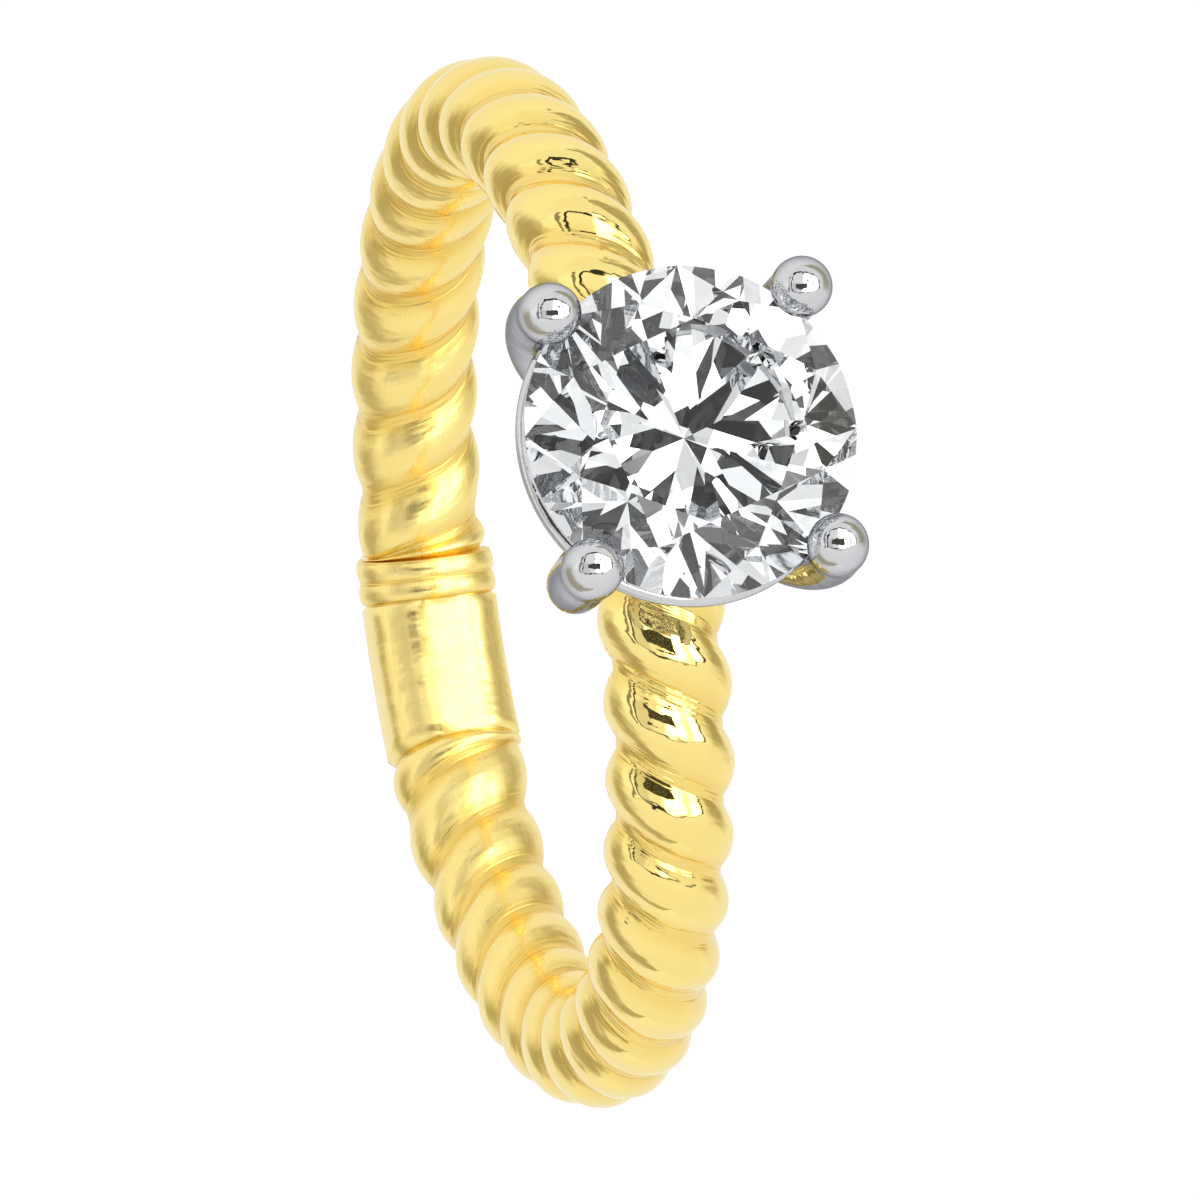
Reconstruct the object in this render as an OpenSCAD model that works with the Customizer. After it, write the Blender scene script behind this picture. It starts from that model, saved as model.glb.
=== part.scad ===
// Solitaire ring with a twisted rope shank, lying on its side on the plane z = 0.
// It rests on the rail of its head and on the soldered ends of the bar at its back.
// The stone faces -Y. Lengths are in millimetres and angles in degrees.

/* [Shank] */
// Inside diameter of the finger hole, over the crests of the lobes
finger_d = 16.9; // [14:0.1:22]
// Thickness of the rope over its lobes
rope_d = 2.7; // [2:0.05:3.4]
// Depth of the grooves beside the head
groove_front = 0.24; // [0.1:0.01:0.4]
// Depth of the grooves beside the bar
groove_back = 0.16; // [0.1:0.01:0.4]
// Share of a lobe's width that is the flat floor of its grooves
groove_share = 0.15; // [0.05:0.01:0.3]
// Number of lobes on the +X arm
lobes_right = 15; // [8:1:22]
// Number of lobes on the -X arm
lobes_left = 16; // [8:1:22]
// How far a groove runs along the hoop between the middle and a side of the rope
lobe_slant = 0.7; // [0:0.05:1.2]
// How far a groove bows towards the head on the outer face
lobe_lean = 0.25; // [0:0.05:0.6]
// Width of the one lobe that passes under the head
head_lobe_w = 2.5; // [1:0.1:4]
// Depth of the flat that the head stands on
seat_depth = 0.2; // [0.05:0.05:0.5]

/* [Bar at the back] */
// Length of the plain bar
bar_len = 3.35; // [1:0.05:6]
// Width of the bar along the finger
bar_w = 2.8; // [2:0.02:3.6]
// Thickness of the bar from the finger outwards
bar_t = 2.56; // [1.8:0.02:3.4]
// Leg of the bevel along each long edge of the bar
bar_bevel = 0.64; // [0.2:0.02:0.8]
// Width of each of the two beads at the bar's +X end
bead_w = 0.48; // [0.3:0.02:1]
// How far the beads and the soldered swelling stand out of the rope
solder_rise = 0.12; // [0:0.01:0.25]
// Width of the short lobe beside the beads
short_lobe_right = 0.4; // [0.3:0.05:1.5]
// Width of the short lobe at the bar's -X end
short_lobe_left = 0.65; // [0.3:0.05:1.5]

/* [Stone] */
// Diameter of the stone
stone_d = 7; // [5:0.1:8]
// Diameter over the corners of the table
table_d = 4.3; // [2.6:0.05:5]
// Thickness of the girdle at its widest places
girdle_t = 0.2; // [0.1:0.01:0.3]
// Angle of the crown's main facets
crown_angle = 37.5; // [28:0.5:40]
// Angle of the pavilion's main facets
pavilion_angle = 40.8; // [38:0.1:43]
// How far the star facets reach from the table towards the girdle
star_share = 0.52; // [0.35:0.01:0.7]
// How far the lower girdle facets reach from the girdle towards the culet
lower_share = 0.77; // [0.5:0.01:0.9]
// Turn of the stone about its own axis
stone_turn = 39.5; // [0:0.5:44.5]

/* [Head] */
// Diameter of a prong beside the stone
prong_d = 1.18; // [0.8:0.02:1.4]
// Diameter of a prong where it meets the base ring
leg_d = 0.86; // [0.5:0.02:0.9]
// How far a prong bows outwards below its tip
prong_bow = 0.08; // [0.02:0.01:0.3]
// Radius of the tight bend that turns a prong in towards the base ring
elbow_r = 1.55; // [1.2:0.05:1.65]
// How far the outer side of that bend is inside the middle of a ball tip
elbow_in = 0.2; // [0.1:0.01:0.3]
// How far that bend dips below the middle of the prong's foot
elbow_dip = 0.03; // [0:0.01:0.05]
// Small turns of the prongs from their square places
prong_turn = [-1, 0, -3, -1]; // [-5:0.5:5]
// Diameter of the ball tip of a prong
ball_d = 1.28; // [0.9:0.02:1.6]
// How far the middle of a ball tip is outside the edge of the stone
ball_out = 0.3; // [0.2:0.01:0.5]
// How far the middle of a ball tip is above the middle of the girdle
ball_up = 0.53; // [0.4:0.01:0.7]
// Thickness of the rail
rail_d = 0.42; // [0.2:0.02:0.7]
// How far the rail's middle is below the middle of the girdle
rail_drop = 0.62; // [0.5:0.02:0.9]
// How far the rail's outer side stands past the edge of the stone
rail_out = 0.04; // [-0.2:0.01:0.3]
// Outer diameter of the base ring
base_d = 3.1; // [2.6:0.1:4]
// Hole of the base ring, which the stone's point reaches into
base_hole_d = 1.8; // [1.4:0.05:2]
// Height of the base ring
base_h = 0.75; // [0.5:0.05:0.85]

/* [Clearances] */
// Between the head and the flat of the shank
head_gap = 0.04; // [0.02:0.01:0.1]
// Between the stone and the metal that holds it
stone_gap = 0.04; // [0.02:0.01:0.1]
// Between the stone's point and the flat of the shank
culet_gap = 0.14; // [0.05:0.01:0.4]

/* [Hidden] */
$fn = 48;

// Columns of points around the rope, and rows of points along one lobe
columns = 24;
lobe_rows = 6;
// Sharpness of the bar's section, where a high number gives crisp bevels
bar_sharpness = 14;
// The middle of the bar is a little off the point opposite the stone
bar_middle = 179.25;
// The first groove of the -X arm, as an angle short of the stone's axis
first_left = 6.05;
// How much straighter a groove runs over the middle of the rope than near its sides
groove_ease = 0.08;

rope_r = rope_d / 2;
hoop_r = finger_d / 2 + rope_r;
deg_per_mm = 180 / (PI * hoop_r);

slant_deg = lobe_slant * deg_per_mm;
lean_deg = lobe_lean * deg_per_mm;
fade_deg = slant_deg + 0.15 * deg_per_mm;

bar_start = bar_middle - bar_len / 2 * deg_per_mm;
bar_end = bar_middle + bar_len / 2 * deg_per_mm;
beads_start = bar_start - 2 * bead_w * deg_per_mm;
bar_edge = 0.1 * deg_per_mm;

first_right = head_lobe_w * deg_per_mm - first_left;
last_right = beads_start - short_lobe_right * deg_per_mm;
last_left = bar_end + short_lobe_left * deg_per_mm;
end_left = 360 - first_left;
pitch_right = (last_right - first_right) / lobes_right;
pitch_left = (end_left - last_left) / lobes_left;

bead_r = rope_r + solder_rise;
seat_h = hoop_r + rope_r - seat_depth;

stone_r = stone_d / 2;
table_r = table_d / 2;
crown_h = (stone_r - table_r) * tan(crown_angle);
pavilion_h = stone_r * tan(pavilion_angle);
culet_h = seat_h + culet_gap;
girdle_h = culet_h + pavilion_h + girdle_t / 2;
table_h = girdle_h + girdle_t / 2 + crown_h;

ball_r = ball_d / 2;
ball_reach = stone_r + ball_out;
ball_h = girdle_h + ball_up;
base_z = seat_h + head_gap;
foot_h = base_z + leg_d / 2 + 0.02;
foot_reach = (base_d / 2 + base_hole_d / 2) / 2;

// A prong's elbow stands between the ball and the foot, and its bend is limited by that room
prong_step = 0.05;
elbow_out = ball_reach - elbow_in;
bend_r = min(elbow_r, 0.7 * (elbow_out - foot_reach));
elbow_at = [elbow_out - bend_r, foot_h - elbow_dip + bend_r];

// The bow is an arc from the middle of the ball that runs smoothly into the elbow. Its widest
// point is bow_drop below the ball, which solves share * d * d + 2 * fall * d = reach.
fall = ball_h - elbow_at[1];
share = elbow_in / prong_bow;
reach = fall * fall + (elbow_in + prong_bow) * (2 * bend_r + elbow_in);
bow_drop = (sqrt(fall * fall + share * reach) - fall) / share;
bow_r = (bow_drop * bow_drop + prong_bow * prong_bow) / (2 * prong_bow);
bow_at = [ball_reach + prong_bow - bow_r, ball_h - bow_drop];
bow_end = atan2(bow_at[1] - elbow_at[1], elbow_at[0] - bow_at[0]);

// The elbow ends at elbow_end, where it points at the foot, and a straight leg goes on to it
foot_from_elbow = [foot_reach, foot_h] - elbow_at;
elbow_end = -atan2(foot_from_elbow[1], foot_from_elbow[0]) - acos(bend_r / norm(foot_from_elbow));
leg_at = elbow_at + bend_r * [cos(elbow_end), -sin(elbow_end)];
leg_len = sqrt(pow(norm(foot_from_elbow), 2) - bend_r * bend_r);

// The ring's rest: a line that touches the rail and the bead nearest the bar from below
rail_r = rail_d / 2;
rail_reach = stone_r + rail_out - rail_r;
rail_h = girdle_h - rail_drop;
bead_y = hoop_r * cos(180 - bar_start + bead_w / 2 * deg_per_mm);
rest_span = norm([rail_h + bead_y, rail_reach]);
tilt = atan(rail_reach / (rail_h + bead_y)) + asin((rail_r - bead_r) / rest_span);
lift = bead_y * sin(tilt) + bead_r;
front_y = -ball_h * cos(tilt) - ball_reach * sin(45) * sin(tilt) - ball_r;
back_y = (hoop_r + bar_t / 2) * cos(tilt) + (bar_w / 2 - bar_bevel) * sin(tilt);

// Share of the full slant that a groove has: none along the bar and its beads
function slant_share(angle) =
    angle > beads_start - fade_deg && angle < bar_end + fade_deg
    ? max(0, beads_start - angle, angle - bar_end) / fade_deg
    : 1;

// Depth of a groove, which changes smoothly from the head to the bar
function groove_depth(angle) =
    groove_front + (groove_back - groove_front) * (1 - cos(angle)) / 2;

// Radius of the swelling where the -X arm is soldered to the bar
function crest(angle) =
    rope_r + solder_rise * max(0, 1 - abs(angle - last_left) / pitch_left);

// One row of the shank is [angle, radius of the round section, share of the bar's section].
// A lobe is round between the floors of its two grooves, which each take half of groove_share.
function lobe(from, to, rows) =
    [for (i = [0 : rows - 1]) let (
            t = i / (rows - 1),
            angle = from + (to - from) * (groove_share / 2 + (1 - groove_share) * t))
        [angle, crest(angle) - groove_depth(angle) * pow(2 * t - 1, 2), 0]];

function bead(from, to, rows) =
    [for (i = [0 : rows - 1]) let (u = i / rows)
        [from + (to - from) * u, bead_r - solder_rise / 2 * pow(2 * u - 1, 2), 0]];

function bar_rows(rows) =
    [for (i = [0 : rows]) [bar_start + bar_edge + (bar_end - bar_start - 2 * bar_edge) * i / rows, 0, 1]];

function each_lobe(from, pitch, count) =
    [for (k = [0 : count - 1]) each lobe(from + pitch * k, from + pitch * (k + 1), lobe_rows)];

shank_rows = concat(
    each_lobe(first_right, pitch_right, lobes_right),
    lobe(last_right, beads_start, 4),
    bead(beads_start, (beads_start + bar_start) / 2, 4),
    bead((beads_start + bar_start) / 2, bar_start, 4),
    [[bar_start, bead_r - solder_rise, 0]],
    bar_rows(7),
    lobe(bar_end, last_left, 5),
    each_lobe(last_left, pitch_left, lobes_left),
    lobe(end_left, 360 + first_right, 8));

// Radius of the bar's bevelled section in the direction psi
function bar_radius(psi) = let (
        across = abs(sin(psi)),
        out = abs(cos(psi)),
        bevel = (across + out) / ((bar_w + bar_t) / 2 - bar_bevel))
    pow(pow(out / (bar_t / 2), bar_sharpness)
        + pow(across / (bar_w / 2), bar_sharpness)
        + pow(bevel, bar_sharpness), -1 / bar_sharpness);

// A point of the shank: psi is 0 on the outer face and 90 on the side towards +Z.
// The flat under the head cuts off whatever would stand above it.
function shank_point(row, psi) = let (
        share = slant_share(row[0]),
        across = sin(psi) - groove_ease * sin(3 * psi),
        angle = row[0] + share * (slant_deg * across - lean_deg * sin(row[0]) * cos(psi)),
        radius = row[1] * (1 - row[2]) + bar_radius(psi) * row[2],
        out = hoop_r + radius * cos(psi))
    [out * sin(angle), max(-out * cos(angle), -seat_h), radius * sin(psi)];

module shank() {
    rows = len(shank_rows);
    color([0.93, 0.8, 0.42])
    polyhedron(
        points = [for (row = shank_rows) for (j = [0 : columns - 1]) shank_point(row, 360 * j / columns)],
        faces = [for (i = [0 : rows - 1]) for (j = [0 : columns - 1])
            let (i2 = (i + 1) % rows, j2 = (j + 1) % columns,
                 a = i * columns + j, b = i2 * columns + j, c = i2 * columns + j2, d = i * columns + j2)
            each [[a, c, b], [a, d, c]]]);
}

// The head and the stone are drawn about +Z and then turned to face -Y
module facing_front() {
    rotate([90, 0, 0]) children();
}

// A round wire bent in the plane y = 0, from the lean start to the lean end
module bend(centre, r, start, end, wire) {
    translate([centre[0], 0, centre[1]])
        rotate([90, 0, 0])
        rotate([0, 0, -end])
        rotate_extrude(angle = end - start)
        translate([r, 0])
        circle(d = wire);
}

// Each stretch of a prong is a little thinner than the one above, and starts inside its end
module prong() {
    bend(bow_at, bow_r, -asin(bow_drop / bow_r), bow_end, prong_d);
    bend(elbow_at, bend_r, bow_end - 2, elbow_end, prong_d - prong_step);
    translate([leg_at[0], 0, leg_at[1]])
        rotate([0, 180 + elbow_end, 0])
        translate([0, 0, -prong_step])
        cylinder(d1 = prong_d - 2 * prong_step, d2 = leg_d, h = leg_len + prong_step);
    translate([ball_reach, 0, ball_h]) sphere(d = ball_d);
}

module rail() {
    rotate_extrude()
        translate([rail_reach, rail_h])
        circle(d = rail_d);
}

module base() {
    translate([0, 0, base_z])
        difference() {
            cylinder(d = base_d, h = base_h);
            translate([0, 0, -1]) cylinder(d = base_hole_d, h = base_h + 2);
        }
}

// The room that the stone needs, which is cut from the prongs as their seats
module stone_room() {
    edge = stone_r + stone_gap;
    half_girdle = girdle_t / 2 + stone_gap;
    rotate_extrude()
        polygon([[0, culet_h - stone_gap], [edge, girdle_h - half_girdle], [edge, girdle_h + half_girdle],
                 [table_r + stone_gap, table_h + stone_gap], [0, table_h + stone_gap]]);
}

module head() {
    color([0.8, 0.8, 0.82])
    facing_front()
    difference() {
        union() {
            for (k = [0 : 3]) rotate([0, 0, 45 + 90 * k + prong_turn[k]]) prong();
            rail();
            base();
        }
        stone_room();
    }
}

// Facets of a round brilliant. Corner k of the table is at k * 45 degrees.
// Each girdle edge has girdle_steps parts, so that the stone's outline is round.
girdle_steps = 3;
girdle_count = 16 * girdle_steps;

function polar(r, angle, z) = [r * cos(angle), r * sin(angle), z];

// A main facet is a plane that falls away at its own slope from the girdle point at angle 0
crown_slope = tan(crown_angle);
pavilion_slope = tan(pavilion_angle);
star_mid = table_r * cos(22.5);
star_r = star_mid + star_share * (stone_r - star_mid);
star_z = girdle_t / 2 + (stone_r - star_r * cos(22.5)) * crown_slope;
lower_r = stone_r * (1 - lower_share);
lower_z = -girdle_t / 2 - (stone_r - lower_r * cos(22.5)) * pavilion_slope;

// Height of a girdle facet's plane at the stone's edge. The plane holds a tip at radius r and
// height z, 22.5 degrees from a girdle point, and the two girdle points beside it at height g.
function edge_z(r, z, g, angle) = let (
        side = angle % 45 < 22.5 ? angle % 22.5 : 22.5 - angle % 22.5,
        chord = stone_r * cos(11.25),
        out = stone_r * cos(side - 11.25),
        tip = r * cos(11.25))
    g + (z - g) * (chord - out) / (chord - tip);

stone_points = concat(
    [for (k = [0 : 7]) polar(table_r, 45 * k, girdle_t / 2 + crown_h)],
    [for (k = [0 : 7]) polar(star_r, 45 * k + 22.5, star_z)],
    [for (k = [0 : girdle_count - 1]) let (a = 360 * k / girdle_count)
        polar(stone_r, a, edge_z(star_r, star_z, girdle_t / 2, a))],
    [for (k = [0 : girdle_count - 1]) let (a = 360 * k / girdle_count)
        polar(stone_r, a, edge_z(lower_r, lower_z, -girdle_t / 2, a))],
    [for (k = [0 : 7]) polar(lower_r, 45 * k + 22.5, lower_z)],
    [[0, 0, -girdle_t / 2 - pavilion_h]]);

star_0 = 8;
top_0 = 16;
bottom_0 = top_0 + girdle_count;
lower_0 = bottom_0 + girdle_count;
culet = lower_0 + 8;

function top_edge(k) = top_0 + (k + girdle_count) % girdle_count;
function bottom_edge(k) = bottom_0 + (k + girdle_count) % girdle_count;

stone_faces = concat(
    [[for (k = [7 : -1 : 0]) k]],
    [for (k = [0 : 7]) [k, (k + 1) % 8, star_0 + k]],
    [for (k = [0 : 7]) [k, star_0 + k, top_edge(2 * girdle_steps * k), star_0 + (k + 7) % 8]],
    [for (k = [0 : 7]) for (i = [0 : 2 * girdle_steps - 1])
        [star_0 + k, top_edge(2 * girdle_steps * k + i + 1), top_edge(2 * girdle_steps * k + i)]],
    [for (k = [0 : girdle_count - 1]) each [
        [top_edge(k), top_edge(k + 1), bottom_edge(k + 1)],
        [top_edge(k), bottom_edge(k + 1), bottom_edge(k)]]],
    [for (k = [0 : 7]) for (i = [0 : 2 * girdle_steps - 1])
        [lower_0 + k, bottom_edge(2 * girdle_steps * k + i), bottom_edge(2 * girdle_steps * k + i + 1)]],
    [for (k = [0 : 7]) [culet, lower_0 + (k + 7) % 8, bottom_edge(2 * girdle_steps * k), lower_0 + k]]);

module stone() {
    color([0.9, 0.93, 0.96])
    facing_front()
    translate([0, 0, girdle_h])
    rotate([0, 0, stone_turn])
    polyhedron(points = stone_points, faces = stone_faces);
}

// The ring at rest, with the middle of its outline over the origin
module at_rest() {
    translate([0, -(front_y + back_y) / 2, lift]) rotate([-tilt, 0, 0]) children();
}

at_rest() shank();
at_rest() head();
at_rest() stone();
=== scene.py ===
"""Solitaire ring with a twisted rope shank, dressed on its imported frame.

Shapes are worked out in millimetres in the ring's own axes (x along the head, y from the stone
back to the bar, z along the finger) and then laid down at the ring's rest. Places round the hoop
are angles in degrees from the middle of the head.
"""

import bpy
import numpy as np
from mathutils import Matrix, Vector


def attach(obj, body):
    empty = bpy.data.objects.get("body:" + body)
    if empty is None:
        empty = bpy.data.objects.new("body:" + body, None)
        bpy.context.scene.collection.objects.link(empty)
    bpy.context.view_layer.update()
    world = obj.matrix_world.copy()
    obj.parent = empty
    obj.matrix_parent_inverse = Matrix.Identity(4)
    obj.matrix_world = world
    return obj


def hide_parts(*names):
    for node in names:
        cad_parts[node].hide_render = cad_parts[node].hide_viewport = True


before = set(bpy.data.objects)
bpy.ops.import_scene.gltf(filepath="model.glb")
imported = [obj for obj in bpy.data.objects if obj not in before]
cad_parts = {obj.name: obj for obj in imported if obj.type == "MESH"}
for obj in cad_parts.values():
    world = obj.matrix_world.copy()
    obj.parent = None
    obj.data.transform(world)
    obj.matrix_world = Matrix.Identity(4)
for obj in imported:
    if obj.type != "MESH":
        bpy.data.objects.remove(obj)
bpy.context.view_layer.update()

MM = 0.001

# The ring's rest, as in the part: leaned about X, then moved back and up
TILT = np.radians(5.09105)
SHIFT_Y = 2.22884
LIFT = 2.32081

# The hoop and its rope
HOOP_R = 9.8
ROPE_R = 1.35
GROOVE_FRONT = 0.24
GROOVE_BACK = 0.16
GROOVE_SHARE = 0.15
GROOVE_EASE = 0.08
DEG_PER_MM = 180 / (np.pi * HOOP_R)
SLANT = 0.7 * DEG_PER_MM
LEAN = 0.25 * DEG_PER_MM
FADE = SLANT + 0.15 * DEG_PER_MM
SEAT_CUT = 0.20
SEAT_H = HOOP_R + ROPE_R - SEAT_CUT
SOLDER_RISE = 0.12
BEAD_R = ROPE_R + SOLDER_RISE
BEAD_W = 0.48

# The plain bar, and the lobes that fill the rope between it and the head
BAR_MIDDLE = 179.25
BAR_LEN = 3.35
BAR_W = 2.80
BAR_T = 2.56
BAR_BEVEL = 0.64
BAR_CRISPNESS = 14
BAR_JOINT = 0.1
BAR_START = BAR_MIDDLE - BAR_LEN / 2 * DEG_PER_MM
BAR_END = BAR_MIDDLE + BAR_LEN / 2 * DEG_PER_MM
BEADS_START = BAR_START - 2 * BEAD_W * DEG_PER_MM
HEAD_LOBE_W = 2.5
SHORT_LOBE_RIGHT = 0.4
SHORT_LOBE_LEFT = 0.65
FIRST_LEFT = 6.05
FIRST_RIGHT = HEAD_LOBE_W * DEG_PER_MM - FIRST_LEFT
LAST_RIGHT = BEADS_START - SHORT_LOBE_RIGHT * DEG_PER_MM
LAST_LEFT = BAR_END + SHORT_LOBE_LEFT * DEG_PER_MM
END_LEFT = 360 - FIRST_LEFT
LOBES_RIGHT = 15
LOBES_LEFT = 16

# The stone
STONE_R = 3.5
TABLE_R = 2.15
GIRDLE_T = 0.20
CROWN = np.tan(np.radians(37.5))
PAVILION = np.tan(np.radians(40.8))
STAR_SHARE = 0.52
LOWER_SHARE = 0.77
STONE_TURN = 39.5
CULET_GAP = 0.14
CULET_H = SEAT_H + CULET_GAP
GIRDLE_H = CULET_H + STONE_R * PAVILION + GIRDLE_T / 2

# The head
SEAT_GAP = 0.04
SOLDER_GAP = 0.04
BALL_R = 0.64
TIP_H = 0.76
BALL_OUT = 0.30
BALL_RISE = 0.53
BALL_REACH = STONE_R + BALL_OUT
BALL_H = GIRDLE_H + BALL_RISE
PRONG_R = 0.59
LEG_R = 0.43
TAPER_START = 2.0
PRONG_TURNS = (-1.0, 0.0, -3.0, -1.0)
PRONG_BOW = 0.08
ELBOW_R = 1.55
ELBOW_IN = 0.20
ELBOW_DIP = 0.03
BASE_Z = SEAT_H + SOLDER_GAP
BASE_R = 1.55
BASE_HOLE_R = 0.90
BASE_H = 0.75
BASE_CRISPNESS = 8
LEG_LIFT = 0.02
RAIL_R = 0.21
RAIL_OUT = 0.04
RAIL_DROP = 0.62
RAIL_REACH = STONE_R + RAIL_OUT - RAIL_R
RAIL_H = GIRDLE_H - RAIL_DROP

# Rows and columns of the grids
ROPE_COLS = 96
LOBE_ROWS = 24
HEAD_LOBE_ROWS = 30
SHORT_RIGHT_ROWS = 10
SHORT_LEFT_ROWS = 14
BEAD_ROWS = 12
BAR_ROWS = 16
TIP_ROWS = 30
BOW_ROWS = 40
ELBOW_ROWS = 60
LEG_ROWS = 16
PRONG_COLS = 64
RING_ROWS = 160
RING_COLS = 40
GIRDLE_STEPS = 8


def lay_down(points):
    """World place of points in the ring's axes: leaned by TILT about X, moved, and in metres."""
    x, y, z = points[..., 0], points[..., 1], points[..., 2]
    c, s = np.cos(TILT), np.sin(TILT)
    return np.stack([x, y * c + z * s + SHIFT_Y, z * c - y * s + LIFT], axis=-1) * MM


def face_front(points):
    """Ring axes of points of the head, which is worked out about +Z and faces -Y."""
    return np.stack([points[..., 0], -points[..., 2], points[..., 1]], axis=-1)


def circle(count):
    """Angles of points that are spread evenly round a circle."""
    return np.arange(count) * 2 * np.pi / count


def superellipse(crispness, *parts):
    """Radius of a shape with flat sides and rounded corners, in a direction. Each part is how far
    one unit that way goes from the middle towards one pair of its sides, as a share."""
    return sum(np.abs(part) ** crispness for part in parts) ** (-1 / crispness)


def grid_faces(rows, cols, wrap_rows=False):
    """Quads between neighbouring rows and columns of a grid whose columns close in a ring."""
    i = np.arange(rows if wrap_rows else rows - 1)
    j = np.arange(cols)
    i, j = np.meshgrid(i, j, indexing="ij")
    i2, j2 = (i + 1) % rows, (j + 1) % cols
    corners = [i * cols + j, i * cols + j2, i2 * cols + j2, i2 * cols + j]
    return np.stack(corners, axis=-1).reshape(-1, 4)


def pole_faces(first, pole, cols, flip):
    """Triangles from one row of points, which starts at the index first, to a pole point."""
    j = np.arange(cols)
    a, b = first + j, first + (j + 1) % cols
    tri = np.stack([a, b, np.full(cols, pole)], axis=-1)
    return tri[:, ::-1] if flip else tri


def new_piece(name, mesh, node):
    """One piece from a mesh, riding on the ring's body in place of the part's own node."""
    piece = bpy.data.objects.new(name, mesh)
    bpy.context.scene.collection.objects.link(piece)
    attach(piece, "root")
    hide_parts(node)
    return piece


def smooth_mesh(name, shells):
    """One smooth mesh from shells of (points, list of face arrays)."""
    points, faces, start = [], [], 0
    for shell_points, face_arrays in shells:
        points.append(shell_points)
        for block in face_arrays:
            faces.extend((block + start).tolist())
        start += len(shell_points)
    mesh = bpy.data.meshes.new(name)
    mesh.from_pydata(np.concatenate(points).tolist(), [], faces)
    mesh.update()
    mesh.polygons.foreach_set("use_smooth", np.ones(len(mesh.polygons), dtype=bool))
    return mesh


def sharpen_rows(mesh, row_is_edge, cols):
    """Sharp edges along the rows of a grid that are true edges of the metal."""
    ends = np.empty(len(mesh.edges) * 2, dtype=np.int64)
    mesh.edges.foreach_get("vertices", ends)
    row = ends.reshape(-1, 2) // cols
    sharp = (row[:, 0] == row[:, 1]) & row_is_edge[row[:, 0]]
    mesh.attributes.new("sharp_edge", "BOOLEAN", "EDGE").data.foreach_set("value", sharp)


# The shank

def groove_depth(angle):
    """Groove depth, which goes from the head's to the bar's as the cosine of the angle does."""
    share = (1 - np.cos(np.radians(angle))) / 2
    return GROOVE_FRONT + (GROOVE_BACK - GROOVE_FRONT) * share


def lobe_rows(start, end, rows):
    """Rows of one lobe, which is round between the flat floors of its two grooves. Each row is
    [angle, radius, share of the bar's section, whether it is an edge, nearness to a groove]."""
    t = np.linspace(0, 1, rows)
    angle = start + (end - start) * (GROOVE_SHARE / 2 + (1 - GROOVE_SHARE) * t)
    pitch = (END_LEFT - LAST_LEFT) / LOBES_LEFT
    crest = ROPE_R + SOLDER_RISE * np.maximum(0, 1 - np.abs(angle - LAST_LEFT) / pitch)
    way = np.abs(2 * t - 1)
    radius = crest - groove_depth(angle) * way ** 2
    return np.stack([angle, radius, np.zeros(rows), way == 1, way], axis=-1)


def bead_rows(start, end, rows):
    """Rows of one solder bead: a low round ring between two grooves of half its rise."""
    u = np.arange(rows) / rows
    way = 2 * u - 1
    radius = BEAD_R - SOLDER_RISE / 2 * way ** 2
    angle = start + (end - start) * u
    return np.stack([angle, radius, np.zeros(rows), u == 0, np.abs(way)], axis=-1)


def bar_rows(rows):
    """Rows of the plain bar, which starts and ends a little inside its two joints."""
    edge = BAR_JOINT * DEG_PER_MM
    angle = np.linspace(BAR_START + edge, BAR_END - edge, rows)
    return np.stack([angle, np.zeros(rows), np.ones(rows), np.zeros(rows), np.zeros(rows)], axis=-1)


def lobes(start, pitch, count, rows):
    """Rows of lobes of one pitch, side by side."""
    starts = start + pitch * np.arange(count)
    return np.concatenate([lobe_rows(a, a + pitch, rows) for a in starts])


def bar_radius(psi):
    """Radius of a bevelled rectangle: a superellipse of its two pairs of sides and its bevels."""
    out, across = np.abs(np.cos(psi)), np.abs(np.sin(psi))
    half_w, half_t = BAR_W / 2, BAR_T / 2
    bevel = (across + out) / (half_w + half_t - BAR_BEVEL)
    return superellipse(BAR_CRISPNESS, out / half_t, across / half_w, bevel)


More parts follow.
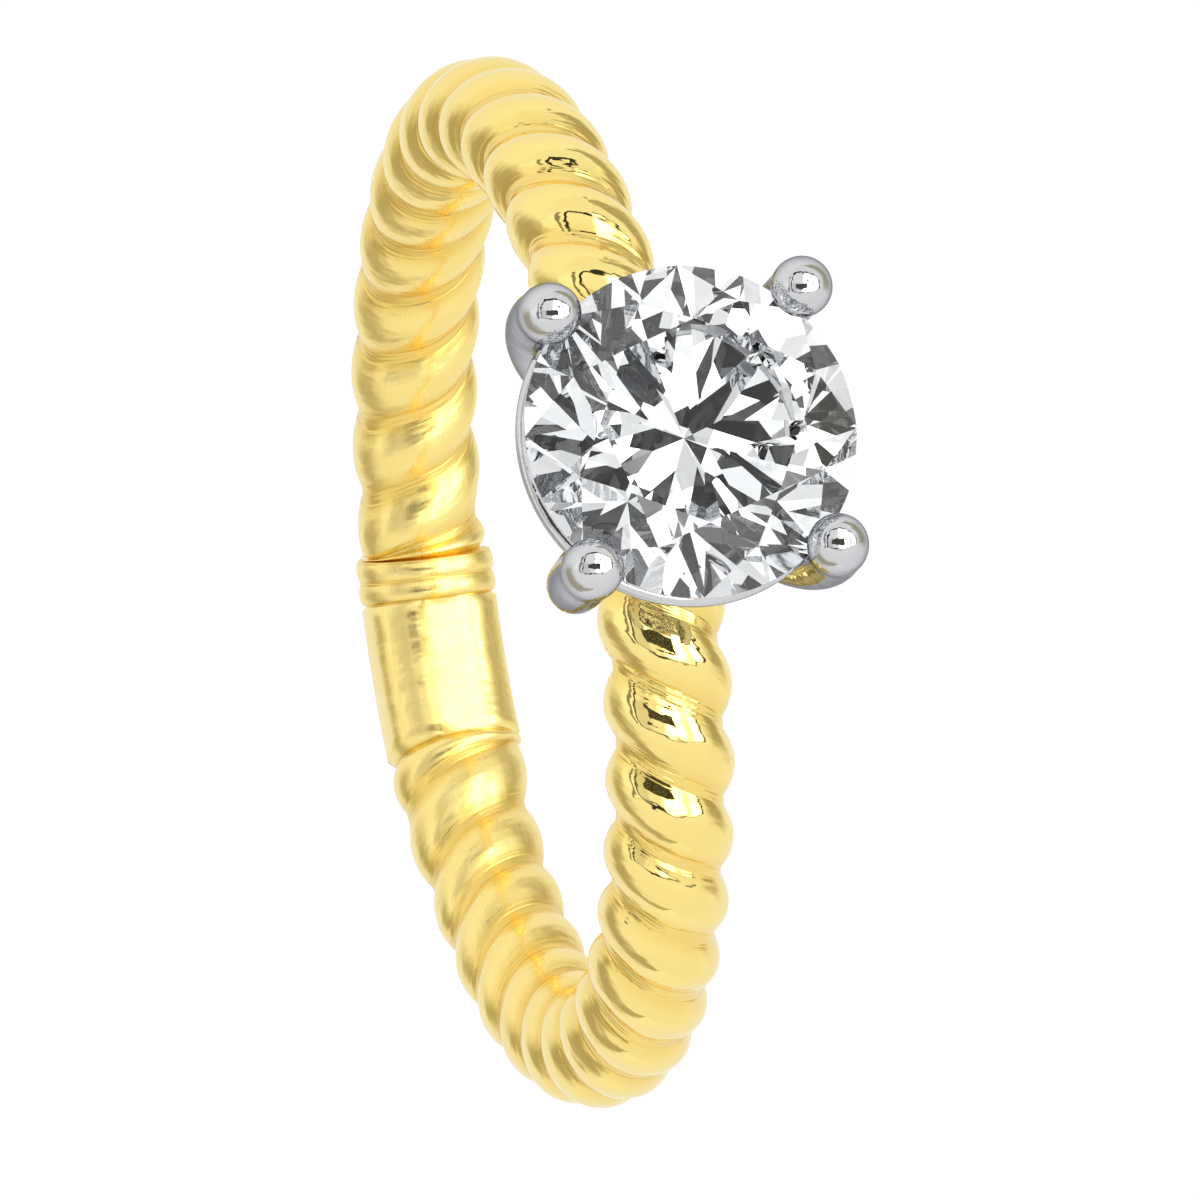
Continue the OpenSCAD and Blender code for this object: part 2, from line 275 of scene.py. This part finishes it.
def make_shank(material):
    """The hoop as one closed grid: round sections along the hoop, whose rows slant across the
    rope as the sine of the way round it and bow towards the head on the outer face."""
    cols = ROPE_COLS
    beads_middle = (BEADS_START + BAR_START) / 2
    rows = np.concatenate([
        lobes(FIRST_RIGHT, (LAST_RIGHT - FIRST_RIGHT) / LOBES_RIGHT, LOBES_RIGHT, LOBE_ROWS),
        lobe_rows(LAST_RIGHT, BEADS_START, SHORT_RIGHT_ROWS),
        bead_rows(BEADS_START, beads_middle, BEAD_ROWS),
        bead_rows(beads_middle, BAR_START, BEAD_ROWS),
        [[BAR_START, BEAD_R - SOLDER_RISE, 0, 1, 1]],
        bar_rows(BAR_ROWS),
        lobe_rows(BAR_END, LAST_LEFT, SHORT_LEFT_ROWS),
        lobes(LAST_LEFT, (END_LEFT - LAST_LEFT) / LOBES_LEFT, LOBES_LEFT, LOBE_ROWS),
        lobe_rows(END_LEFT, 360 + FIRST_RIGHT, HEAD_LOBE_ROWS)])
    along, radius, bar_share = rows[:, 0][:, None], rows[:, 1][:, None], rows[:, 2][:, None]
    psi = circle(cols)[None, :]
    inside = (along > BEADS_START - FADE) & (along < BAR_END + FADE)
    past_bar = np.maximum(0, np.maximum(BEADS_START - along, along - BAR_END))
    share = np.where(inside, past_bar / FADE, 1)
    across = np.sin(psi) - GROOVE_EASE * np.sin(3 * psi)
    lean = LEAN * np.sin(np.radians(along)) * np.cos(psi)
    angle = np.radians(along + share * (SLANT * across - lean))
    radius = radius * (1 - bar_share) + bar_radius(psi) * bar_share
    out = HOOP_R + radius * np.cos(psi)
    points = np.stack([out * np.sin(angle), np.maximum(-out * np.cos(angle), -SEAT_H),
                       radius * np.sin(psi)], axis=-1)
    faces = grid_faces(len(rows), cols, wrap_rows=True)[:, ::-1]
    mesh = smooth_mesh("rope_shank", [(lay_down(points).reshape(-1, 3), [faces])])
    sharpen_rows(mesh, rows[:, 3] > 0, cols)
    # The piece's own map, in millimetres: across the lobes, and along them round the rope
    ends = np.append(rows[:, 0], rows[0, 0] + 360) / DEG_PER_MM
    i, j = np.meshgrid(np.arange(len(rows)), np.arange(cols), indexing="ij")
    corner_i = np.stack([i + 1, i + 1, i, i], axis=-1)
    corner_j = np.stack([j, j + 1, j + 1, j], axis=-1)
    lay = np.stack([ends[corner_i], corner_j * 2 * np.pi * ROPE_R / cols], axis=-1)
    mesh.uv_layers.new(name="along_lobes").data.foreach_set("uv", lay.astype(np.float32).ravel())
    near = mesh.attributes.new("groove_nearness", "FLOAT", "POINT")
    near.data.foreach_set("value", np.repeat(rows[:, 4], cols).astype(np.float32))
    inner = mesh.attributes.new("inner_face", "FLOAT", "POINT")
    inward = np.tile((1 - np.cos(psi[0])) / 2, len(rows))
    inner.data.foreach_set("value", inward.astype(np.float32))
    mesh.materials.append(material)
    new_piece("rope_shank", mesh, "shank")


# The head

def tube(path, radius, cols):
    """Rings of points round a path in the plane y = 0 of the head, each square to the path."""
    psi = circle(cols)
    ahead = np.gradient(path, axis=0)
    ahead /= np.linalg.norm(ahead, axis=1)[:, None]
    normal = np.stack([-ahead[:, 1], ahead[:, 0]], axis=-1)
    across = radius[:, None] * np.cos(psi)[None, :]
    x = path[:, 0][:, None] + normal[:, 0][:, None] * across
    z = path[:, 1][:, None] + normal[:, 1][:, None] * across
    return np.stack([x, radius[:, None] * np.sin(psi)[None, :], z], axis=-1)


def make_room(points):
    """Points inside the stone's room are moved square onto its nearest wall, as a cut seat."""
    r = np.linalg.norm(points[..., :2], axis=-1)
    z = points[..., 2]
    below = np.array([PAVILION, -1.0]) / np.hypot(PAVILION, 1)
    above = np.array([CROWN, 1.0]) / np.hypot(CROWN, 1)
    past = STONE_R + SEAT_GAP - r
    under = z - (GIRDLE_H - GIRDLE_T / 2 - SEAT_GAP)
    over = z - (GIRDLE_H + GIRDLE_T / 2 + SEAT_GAP)
    depth = np.stack([past * below[0] - under * below[1],
                      past * above[0] - over * above[1],
                      past], axis=-1)
    wall = np.argmin(depth, axis=-1)
    step = np.maximum(np.min(depth, axis=-1), 0)
    move = np.array([below, above, [1.0, 0.0]])[wall] * step[..., None]
    out = points.copy()
    out[..., :2] *= ((r + move[..., 0]) / np.maximum(r, 1e-6))[..., None]
    out[..., 2] += move[..., 1]
    return out


def arc(middle, radius, start, end, count):
    """Points on an arc in the plane of a prong, by angles that run down from straight out."""
    a = np.linspace(start, end, count)
    return middle + radius * np.stack([np.cos(a), -np.sin(a)], axis=-1)


def prong_path():
    """Middle line and radius of a prong, from the top of its ball, down the bow, round the elbow
    and along the straight leg into the base ring."""
    foot = np.array([(BASE_R + BASE_HOLE_R) / 2, BASE_Z + LEG_R + LEG_LIFT])
    elbow_at = np.array([BALL_REACH - ELBOW_IN - ELBOW_R, foot[1] - ELBOW_DIP + ELBOW_R])
    # The bow is an arc from the ball that runs smoothly into the elbow
    fall = BALL_H - elbow_at[1]
    share = ELBOW_IN / PRONG_BOW
    reach = fall ** 2 + (ELBOW_IN + PRONG_BOW) * (2 * ELBOW_R + ELBOW_IN)
    bow_drop = (np.sqrt(fall ** 2 + share * reach) - fall) / share
    bow_r = (bow_drop ** 2 + PRONG_BOW ** 2) / (2 * PRONG_BOW)
    bow_at = np.array([BALL_REACH + PRONG_BOW - bow_r, BALL_H - bow_drop])
    bow_end = np.arctan2(bow_at[1] - elbow_at[1], elbow_at[0] - bow_at[0])
    to_foot = foot - elbow_at
    elbow_end = -np.arctan2(to_foot[1], to_foot[0]) - np.arccos(ELBOW_R / np.linalg.norm(to_foot))
    bow = arc(bow_at, bow_r, -np.arcsin(bow_drop / bow_r), bow_end, BOW_ROWS)
    elbow = arc(elbow_at, ELBOW_R, bow_end, elbow_end, ELBOW_ROWS)[1:]
    leg = elbow[-1] + (foot - elbow[-1]) * np.linspace(0, 1, LEG_ROWS)[1:, None]
    body = np.concatenate([bow, elbow, leg])
    # The ball's upper half is added as rings along the path's first direction
    first = body[1] - body[0]
    first /= np.linalg.norm(first)
    lat = np.radians(np.linspace(86, 0, TIP_ROWS))[:-1]
    cap = body[0] - first * (TIP_H * np.sin(lat))[:, None]
    line = np.concatenate([cap, body])
    gone = np.concatenate([[0], np.cumsum(np.linalg.norm(np.diff(body, axis=0), axis=1))])
    taper = np.clip((gone - TAPER_START) / (gone[-1] - TAPER_START), 0, 1)
    wire = PRONG_R + (LEG_R - PRONG_R) * taper ** 1.5
    ball = np.sqrt(np.maximum(BALL_R ** 2 - gone ** 2, 0))
    # A smooth maximum of the ball and the wire, as cast metal flows from one into the other
    soft = 30
    flow = np.log(np.exp(soft * ball) + np.exp(soft * wire)) / soft
    flow = np.where(gone < 0.01, BALL_R, np.minimum(flow, BALL_R))
    return line, np.concatenate([BALL_R * np.cos(lat), flow])


def make_head(material):
    """Prongs with ball tips, rail and base ring, each a closed shell, with the stone's seat cut."""
    cols = PRONG_COLS
    line, radius = prong_path()
    ring = tube(line, radius, cols)
    start = line[0] - (line[1] - line[0]) / np.linalg.norm(line[1] - line[0]) * 0.002
    poles = np.array([[start[0], 0, start[1]], [line[-1][0], 0, line[-1][1]]])
    flat = np.concatenate([ring.reshape(-1, 3), poles])
    n = len(line)
    faces = [grid_faces(n, cols), pole_faces(0, n * cols, cols, True),
             pole_faces((n - 1) * cols, n * cols + 1, cols, False)]
    shells = []
    for k, turn in enumerate(PRONG_TURNS):
        a = np.radians(45 + 90 * k + turn)
        c, s = np.cos(a), np.sin(a)
        turned = flat @ np.array([[c, s, 0], [-s, c, 0], [0, 0, 1]])
        shells.append((lay_down(face_front(make_room(turned))), faces))
    # The rail is a round wire in a ring, and the base ring a band with rounded edges
    a, b = circle(RING_ROWS)[:, None], circle(RING_COLS)[None, :]
    ring_faces = [grid_faces(RING_ROWS, RING_COLS, True)[:, ::-1]]

    def closed_ring(reach, height, section):
        out = reach + section * np.cos(b)
        up = height + section * np.sin(b) + 0 * a
        return np.stack([out * np.cos(a), out * np.sin(a), up], axis=-1)

    rail = make_room(closed_ring(RAIL_REACH, RAIL_H, RAIL_R))
    half_w, half_h = (BASE_R - BASE_HOLE_R) / 2, BASE_H / 2
    section = superellipse(BASE_CRISPNESS, np.cos(b) / half_w, np.sin(b) / half_h)
    base = closed_ring(BASE_HOLE_R + half_w, BASE_Z + half_h, section)
    for shell in (rail, base):
        shells.append((lay_down(face_front(shell)).reshape(-1, 3), ring_faces))
    mesh = smooth_mesh("prong_head", shells)
    mesh.materials.append(material)
    new_piece("prong_head", mesh, "head")


# The stone

def make_stone():
    """A round brilliant: main facets are planes from the eight girdle points, and each girdle
    facet's plane holds a tip between them and the two girdle points beside it."""
    steps = GIRDLE_STEPS
    count = 16 * steps
    k = np.arange(8)
    half = GIRDLE_T / 2

    def polar(r, angle, z):
        a = np.radians(angle)
        return np.stack([r * np.cos(a), r * np.sin(a), z + 0 * a], axis=-1)

    def edge_z(r, z, g, angle):
        part = angle % 22.5
        side = np.where(angle % 45 < 22.5, part, 22.5 - part)
        chord = STONE_R * np.cos(np.radians(11.25))
        reach = STONE_R * np.cos(np.radians(side - 11.25))
        tip = r * np.cos(np.radians(11.25))
        return g + (z - g) * (chord - reach) / (chord - tip)

    c22 = np.cos(np.radians(22.5))
    star_mid = TABLE_R * c22
    star_r = star_mid + STAR_SHARE * (STONE_R - star_mid)
    star_z = half + (STONE_R - star_r * c22) * CROWN
    lower_r = STONE_R * (1 - LOWER_SHARE)
    lower_z = -half - (STONE_R - lower_r * c22) * PAVILION
    round_angle = 360 * np.arange(count) / count
    points = np.concatenate([
        polar(TABLE_R, 45 * k, half + (STONE_R - TABLE_R) * CROWN),
        polar(star_r, 45 * k + 22.5, star_z),
        polar(STONE_R, round_angle, edge_z(star_r, star_z, half, round_angle)),
        polar(STONE_R, round_angle, edge_z(lower_r, lower_z, -half, round_angle)),
        polar(lower_r, 45 * k + 22.5, lower_z),
        [[0, 0, -half - STONE_R * PAVILION]]])
    star, top, bottom = 8, 16, 16 + count
    lower = bottom + count
    culet = lower + 8
    around = np.arange(count)
    ahead = (around + 1) % count
    tip = np.repeat(k, 2 * steps)
    main = 2 * steps * k
    before = (k + 7) % 8
    table = [list(range(8))]
    stars = np.stack([k, star + k, (k + 1) % 8], axis=-1)
    kites = np.stack([k, star + before, top + main, star + k], axis=-1)
    upper = np.stack([star + tip, top + around, top + ahead], axis=-1)
    girdle = np.stack([top + around, bottom + around, bottom + ahead, top + ahead], axis=-1)
    under = np.stack([lower + tip, bottom + ahead, bottom + around], axis=-1)
    mains = np.stack([np.full(8, culet), lower + k, bottom + main, lower + before], axis=-1)
    t = np.radians(STONE_TURN)
    turn = np.array([[np.cos(t), np.sin(t), 0], [-np.sin(t), np.cos(t), 0], [0, 0, 1]])
    placed = points @ turn + np.array([0, 0, GIRDLE_H])
    blocks = [stars, kites, upper, girdle, under, mains]
    faces = table + [f for block in blocks for f in block.tolist()]
    mesh = bpy.data.meshes.new("brilliant")
    mesh.from_pydata(lay_down(face_front(placed)).tolist(), [], faces)
    mesh.update()
    mesh.materials.append(diamond())
    mesh.materials.append(ground_girdle())
    which = np.zeros(len(faces), dtype=np.int32)
    first = len(table) + len(stars) + len(kites) + len(upper)
    which[first:first + count] = 1
    mesh.polygons.foreach_set("material_index", which)
    new_piece("brilliant", mesh, "stone")


# Materials

def add(tree, kind, at, sockets=(), **settings):
    """One node with its settings. Each input, by name or number, gets a plain value or a link."""
    node = tree.nodes.new(kind)
    node.location = at
    for key, value in settings.items():
        setattr(node, key, value)
    for key, value in dict(sockets).items():
        if isinstance(value, bpy.types.NodeSocket):
            tree.links.new(value, node.inputs[key])
        else:
            node.inputs[key].default_value = value
    return node


def stretched(tree, vector, scale, at):
    """Vector times one scale for each of its axes."""
    node = add(tree, "ShaderNodeMapping", at, {"Vector": vector, "Scale": scale})
    return node.outputs["Vector"]


def noise(tree, vector, scale, detail, at, **settings):
    """Noise between 0 and 1 over a vector."""
    sockets = {"Vector": vector, "Scale": scale, "Detail": detail}
    return add(tree, "ShaderNodeTexNoise", at, sockets, **settings).outputs["Fac"]


def ramp(tree, value, start, end, low, high, at=(0, 0), kind="SMOOTHSTEP"):
    """Value that goes from low to high while the input goes from start to end."""
    sockets = {"Value": value, "From Min": start, "From Max": end, "To Min": low, "To Max": high}
    return add(tree, "ShaderNodeMapRange", at, sockets, interpolation_type=kind).outputs["Result"]


def reckon(tree, operation, values, at=(0, 0), **settings):
    """Result of one sum on plain or linked values."""
    sockets = dict(enumerate(values))
    return add(tree, "ShaderNodeMath", at, sockets, operation=operation, **settings).outputs[0]


def blend(tree, first, second, factor, at=(0, 0), kind="RGBA"):
    """Mix of two colours or values."""
    sockets = {"A": first, "B": second, "Factor": factor}
    return add(tree, "ShaderNodeMix", at, sockets, data_type=kind).outputs["Result"]


def new_material(name):
    """Material with its tree and its shader."""
    material = bpy.data.materials.new(name)
    material.use_nodes = True
    return material, material.node_tree, material.node_tree.nodes["Principled BSDF"]


def polish_group():
    """Group that gives a worn mirror polish: roughness with hairlines and soft wear, and a normal
    with the slow waviness that a buffing wheel leaves."""
    g = bpy.data.node_groups.new("buffed polish", "ShaderNodeTree")
    for name in ("Fresh", "Worn", "Waviness"):
        g.interface.new_socket(name, in_out="INPUT", socket_type="NodeSocketFloat")
    g.interface.new_socket("Roughness", in_out="OUTPUT", socket_type="NodeSocketFloat")
    g.interface.new_socket("Normal", in_out="OUTPUT", socket_type="NodeSocketVector")
    enter = add(g, "NodeGroupInput", (-900, 0))
    coord = add(g, "ShaderNodeTexCoord", (-900, -300))
    in_mm = stretched(g, coord.outputs["Object"], (1000, 1000, 1000), (-700, -300))
    # Hairlines run round the finger, so the noise is drawn out along X and Y
    hair_lay = stretched(g, in_mm, (1.2, 1.2, 22.0), (-500, -150))
    hair = noise(g, hair_lay, 1.0, 4.0, (-300, -150))
    slow = noise(g, in_mm, 1.3, 4.0, (-300, -450))
    # Wear grows from the head towards the bar, where the ring meets what the hand holds
    split = add(g, "ShaderNodeSeparateXYZ", (-500, 150), {0: in_mm})
    back = ramp(g, split.outputs["Y"], -4.0, 12.0, 0.0, 1.0, (-300, 150))
    wear = blend(g, enter.outputs["Fresh"], enter.outputs["Worn"], back, (-50, 100), "FLOAT")
    marks = ramp(g, hair, 0.35, 0.75, 0.75, 1.45, (-50, -150), "LINEAR")
    rough = reckon(g, "MULTIPLY", (wear, marks), (200, 50))
    bump = add(g, "ShaderNodeBump", (200, -350), {
        "Distance": 0.00001, "Strength": enter.outputs["Waviness"], "Height": slow})
    add(g, "NodeGroupOutput", (700, 0), {"Roughness": rough, "Normal": bump.outputs["Normal"]})
    return g


def metal(name, group, colour, tarnish, rim, fresh, worn, waviness):
    """Polished metal: its colour deepens a little in broad soft patches and takes on the rim's
    tint where it turns away, and the polish group gives its roughness and normal."""
    material, tree, shader = new_material(name)
    shader.inputs["Metallic"].default_value = 1.0
    shader.inputs["Specular Tint"].default_value = rim
    polish = add(tree, "ShaderNodeGroup", (-300, -200), node_tree=group, sockets={
        "Fresh": fresh, "Worn": worn, "Waviness": waviness})
    tree.links.new(polish.outputs["Roughness"], shader.inputs["Roughness"])
    tree.links.new(polish.outputs["Normal"], shader.inputs["Normal"])
    coord = add(tree, "ShaderNodeTexCoord", (-900, 200))
    patches = noise(tree, coord.outputs["Object"], 420.0, 2.0, (-700, 200))
    face = blend(tree, colour, tarnish, patches, (-300, 200))
    tree.links.new(face, shader.inputs["Base Color"])
    return material


def linked(shader, name):
    """What now feeds an input of a shader."""
    return shader.inputs[name].links[0].from_socket


def finish_and_shade_rope(material):
    """The rope's own finish, on top of the metal's, with painted shade. Fine lines follow the lobes
    and are strong in the grooves, where no buffing wheel reaches, and long soft dents run along
    each lobe. A deeper tone is painted into the grooves as shade, and they and the face towards the
    finger are duller."""
    tree = material.node_tree
    shader = tree.nodes["Principled BSDF"]
    lay = add(tree, "ShaderNodeUVMap", (-1500, -600), uv_map="along_lobes").outputs["UV"]
    near = add(tree, "ShaderNodeAttribute", (-1100, -500), attribute_name="groove_nearness")
    inner = add(tree, "ShaderNodeAttribute", (-1100, -1300), attribute_name="inner_face")
    near, inner = near.outputs["Fac"], inner.outputs["Fac"]

    def streaks(across, along, at):
        place = stretched(tree, lay, (across, along, 1.0), (-1300, at))
        return noise(tree, place, 1.0, 2.0, (-1100, at), noise_dimensions="2D")

    def bump(height, distance, normal, at):
        sockets = {"Height": height, "Distance": distance, "Normal": normal}
        return add(tree, "ShaderNodeBump", at, sockets).outputs["Normal"]

    flank = ramp(tree, near, 0.72, 0.98, 0.03, 1.0, (-900, -500))
    fine = reckon(tree, "MULTIPLY", (streaks(9.0, 0.3, -700), flank), (-700, -600))
    lined = bump(fine, 0.00003, linked(shader, "Normal"), (-500, -600))
    dented = bump(streaks(2.0, 0.9, -1000), 0.000038, lined, (-300, -700))
    dull = ramp(tree, inner, 0.35, 0.9, 0.0, 0.14, (-700, -1300))
    cast = reckon(tree, "MULTIPLY_ADD", (flank, 0.05, dull), (-500, -1200))
    rough = reckon(tree, "ADD", (linked(shader, "Roughness"), cast), (-300, -1100))
    # Painted shade: the grooves' deeper tone spreads up the flanks, and further on the face towards
    # the finger
    shade = ramp(tree, near, 0.45, 1.05, 0.0, 1.0, (-700, 300))
    reach = reckon(tree, "MULTIPLY_ADD", (inner, 0.5, 0.7), (-500, 450))
    share = reckon(tree, "MULTIPLY", (shade, reach), (-300, 400), use_clamp=True)
    groove_shade = blend(tree, linked(shader, "Base Color"), (0.90, 0.66, 0.18, 1), share, (-100, 400))
    # What is seen of the rope through the stone is paler
    path = add(tree, "ShaderNodeLightPath", (-300, 700))
    behind = reckon(tree, "MULTIPLY", (path.outputs["Transmission Depth"], 0.7), (-100, 700),
                    use_clamp=True)
    pale = blend(tree, groove_shade, (0.85, 0.86, 0.88, 1), behind, (100, 500))
    tree.links.new(dented, shader.inputs["Normal"])
    tree.links.new(rough, shader.inputs["Roughness"])
    tree.links.new(pale, shader.inputs["Base Color"])


def diamond():
    """Clear stone with a diamond's refraction. As through a polarising filter, its surface
    mirrors less than its inside does."""
    material, _, shader = new_material("clear diamond")
    shader.inputs["Base Color"].default_value = (0.965, 0.985, 1.0, 1)
    shader.inputs["Roughness"].default_value = 0.0
    shader.inputs["IOR"].default_value = 2.417
    shader.inputs["Transmission Weight"].default_value = 1.0
    shader.inputs["Specular Tint"].default_value = (0.35, 0.35, 0.35, 1)
    return material


def ground_girdle():
    """The stone's edge, ground and not polished."""
    material, tree, shader = new_material("ground girdle")
    shader.inputs["Base Color"].default_value = (0.95, 0.96, 0.97, 1)
    shader.inputs["IOR"].default_value = 2.417
    shader.inputs["Transmission Weight"].default_value = 1.0
    coord = add(tree, "ShaderNodeTexCoord", (-800, 0))
    grain = noise(tree, coord.outputs["Object"], 14000.0, 2.0, (-600, 0))
    rough = ramp(tree, grain, 0.0, 1.0, 0.25, 0.45, (-300, 0), "LINEAR")
    tree.links.new(rough, shader.inputs["Roughness"])
    return material


# Camera, studio and floor

CAMERA_X = Vector((-0.16965496, -0.30303088, -0.93775769))
CAMERA_Y = Vector((0.9687701, -0.22588722, -0.10227146))
CAMERA_Z = Vector((-0.18083606, -0.92582247, 0.33189014))
CAMERA_PLACE = Vector((-0.10530738, -0.53426191, 0.19339844))
LENS = 825.77
SENSOR_W = 36

# Panes of the tent as the ring sees them, in degrees from the camera: strength, left, right, low,
# high and softness. Each one lies over those before it.
TENT_PANES = (
    # A bright strip on the left, with a seam in it
    (1.15, -86, -54, -34, 50, 2.0),
    (0.30, -64, -58, -40, 56, 1.0),
    # The card's dark edge, the card, its dim corner, its hot side and a dimmer band down that
    (0.04, -52, 80, -32, 62, 0.6),
    (1.05, -47, 73, -28, 54, 0.6),
    (0.80, -47, -24, -30, 14, 5.0),
    (3.6, 2, 73, -27, 54, 6.0),
    (1.3, 42, 54, -30, 60, 4.0),
    # A small flag where the flat top of the stone would mirror the card into the camera
    (0.10, 23.5, 31, 23, 31, 1.0))
WHITE = (1, 1, 1, 1)
WARM = (1.0, 0.93, 0.74, 1)


def make_camera():
    """The photograph's camera: far off with a long lens, and turned so that +X is up."""
    data = bpy.data.cameras.new("camera")
    data.lens = LENS
    data.sensor_width = SENSOR_W
    data.clip_start = 0.05
    data.clip_end = 5
    camera = bpy.data.objects.new("camera", data)
    place = Matrix((CAMERA_X, CAMERA_Y, CAMERA_Z)).transposed().to_4x4()
    place.translation = CAMERA_PLACE
    camera.matrix_world = place
    bpy.context.scene.collection.objects.link(camera)
    bpy.context.scene.camera = camera


def make_studio():
    """Light from all round: pale walls, a broad white card about the camera, with the camera's
    own dark front in its middle, and soft dim gaps beside the ring."""
    world = bpy.data.worlds.new("studio")
    bpy.context.scene.world = world
    world.use_nodes = True
    tree = world.node_tree
    tree.nodes.clear()
    outlook = add(tree, "ShaderNodeTexCoord", (-1400, 0)).outputs["Generated"]
    ray = add(tree, "ShaderNodeLightPath", (0, 200))
    through = reckon(tree, "MINIMUM", (ray.outputs["Transmission Depth"], 1.0))

    def along(axis):
        return add(tree, "ShaderNodeVectorMath", (-1200, 0), {0: outlook, 1: axis},
                   operation="DOT_PRODUCT").outputs["Value"]

    def fade(value, start, end, low=0.0, high=1.0):
        return ramp(tree, value, start, end, low, high)

    def over(base, value, mask):
        return blend(tree, base, value, mask, kind="FLOAT")

    def product(*values):
        result = values[0]
        for value in values[1:]:
            result = reckon(tree, "MULTIPLY", (result, value))
        return result

    to_camera, up = along(CAMERA_Z), along(CAMERA_Y)
    side_turn = reckon(tree, "ARCTAN2", (along(CAMERA_X), to_camera))
    rise_turn = reckon(tree, "ARCTAN2", (up, to_camera))
    side, rise = product(side_turn, 180 / np.pi), product(rise_turn, 180 / np.pi)

    def pane(left, right, low, high, soft):
        """Mask of a pane that is seen from the ring between two side and two rise angles."""
        return product(fade(side, left - soft, left + soft), fade(side, right + soft, right - soft),
                       fade(rise, low - soft, low + soft), fade(rise, high + soft, high - soft))

    def gap(near, far, above, below):
        """Mask of a soft dim zone beside the ring, between two side angles and two heights."""
        soft = 12 if far > near else -12
        return product(fade(side, near - soft, near + soft), fade(side, far + soft, far - soft),
                       fade(up, above, below))

    # The walls are a little dimmer behind the ring, and so is the table further off
    light = fade(to_camera, -0.95, 0.0, 0.94, 1.04)
    light = over(light, fade(rise, -100, -40, 0.96, 1.0), pane(-140, 140, -140, -42, 14.0))
    light = over(light, 0.98, pane(-75, 75, 62, 125, 8.0))
    # Dim gaps in the tent: low on the left and high on the right
    left_gap = gap(-90, -126, 0.30, -0.15)
    right_gap = gap(94, 130, -0.30, 0.15)
    light = over(light, 0.50, left_gap)
    light = over(light, 0.48, right_gap)
    for strength, *edges in TENT_PANES:
        light = over(light, strength, pane(*edges))
    # The camera and its stand, which are dark and not quite plain
    stand = pane(-30, 24, -14, 10, 0.8)
    mottle = noise(tree, outlook, 22.0, 3.0, (-1100, -400))
    light = over(light, fade(mottle, 0.35, 0.75, 0.03, 0.20), stand)
    # What the stone throws back has more dark in it: the gaps in the tent that its facets find
    patches = add(tree, "ShaderNodeTexNoise", (-1100, -700), noise_dimensions="4D", sockets={
        "Vector": outlook, "W": 3.1, "Scale": 3.4, "Detail": 1.0}).outputs["Fac"]
    inside = product(fade(patches, 0.43, 0.44, 0.06, 1.0), fade(patches, 0.44, 0.56, 0.78, 1.15))
    inside = over(inside, 2.4, pane(6, 34, 6, 34, 4.0))
    inside = over(inside, 0.05, pane(-24, 22, -14, 11, 0.8))
    light = over(light, inside, through)
    light = over(light, 1.0, ray.outputs["Is Camera Ray"])
    # The gaps and the stand are a little warm, and all the rest is neutral white
    warmth = over(reckon(tree, "ADD", (left_gap, right_gap)), 0.8, stand)
    colour = blend(tree, WHITE, WARM, over(warmth, 0.0, through), (0, -200))
    colour = blend(tree, colour, WHITE, ray.outputs["Is Camera Ray"], (200, -200))
    background = add(tree, "ShaderNodeBackground", (200, 0), {"Color": colour, "Strength": light})
    add(tree, "ShaderNodeOutputWorld", (400, 0), {"Surface": background.outputs[0]})


def make_floor():
    """A plain white floor that glows, so it takes almost no shadow."""
    mesh = bpy.data.meshes.new("floor")
    half = 3.0
    corners = [(-half, -half, 0), (half, -half, 0), (half, half, 0), (-half, half, 0)]
    mesh.from_pydata(corners, [], [(0, 1, 2, 3)])
    floor = bpy.data.objects.new("floor", mesh)
    bpy.context.scene.collection.objects.link(floor)
    material, _, shader = new_material("white floor")
    shader.inputs["Base Color"].default_value = (0.08, 0.08, 0.08, 1)
    shader.inputs["Roughness"].default_value = 1.0
    shader.inputs["Specular IOR Level"].default_value = 0.0
    shader.inputs["Emission Color"].default_value = WHITE
    shader.inputs["Emission Strength"].default_value = 1.0
    mesh.materials.append(material)
    floor.visible_glossy = False
    floor.visible_transmission = False
    floor.visible_shadow = False


make_camera()
polish = polish_group()
gold = metal("polished yellow gold", polish, colour=(0.985, 0.80, 0.295, 1),
             tarnish=(0.965, 0.76, 0.26, 1), rim=WHITE, fresh=0.03, worn=0.16, waviness=1.0)
white_gold = metal("polished white gold", polish, colour=(0.68, 0.685, 0.70, 1),
                   tarnish=(0.62, 0.625, 0.64, 1), rim=(0.35, 0.35, 0.37, 1),
                   fresh=0.03, worn=0.08, waviness=4.0)
finish_and_shade_rope(gold)
make_shank(gold)
make_head(white_gold)
make_stone()
make_studio()
make_floor()
bpy.context.scene.view_settings.view_transform = "Standard"
# Light goes to and fro in the stone many times before it leaves
cycles = bpy.context.scene.cycles
cycles.max_bounces = cycles.glossy_bounces = cycles.transmission_bounces = 24
